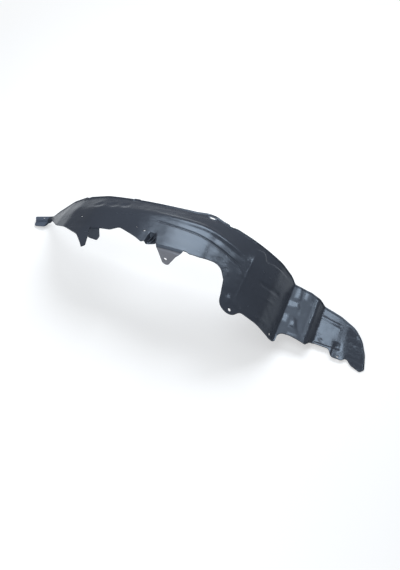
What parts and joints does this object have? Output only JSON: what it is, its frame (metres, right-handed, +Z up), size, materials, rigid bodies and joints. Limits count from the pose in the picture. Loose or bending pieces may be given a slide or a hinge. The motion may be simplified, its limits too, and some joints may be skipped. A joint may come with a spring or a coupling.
{
  "type": "wheel arch liner",
  "caption": "Moulded plastic wheel arch liner: a thin arched sheet with a beaded roof, a front leg and stepped apron, a rear foot, hanging tabs and clip holes.",
  "frame": {"origin": "middle of the liner's length and width, level with its lowest point", "axes": "+X forward along the vehicle, +Y outboard, +Z up as fitted"},
  "size_m": [0.974, 0.2402, 0.2196],
  "materials": {
    "plastic": "black moulded plastic with a soft satin sheen"
  },
  "bodies": {
    "root": {"liner": "plastic"}
  },
  "joints": []
}
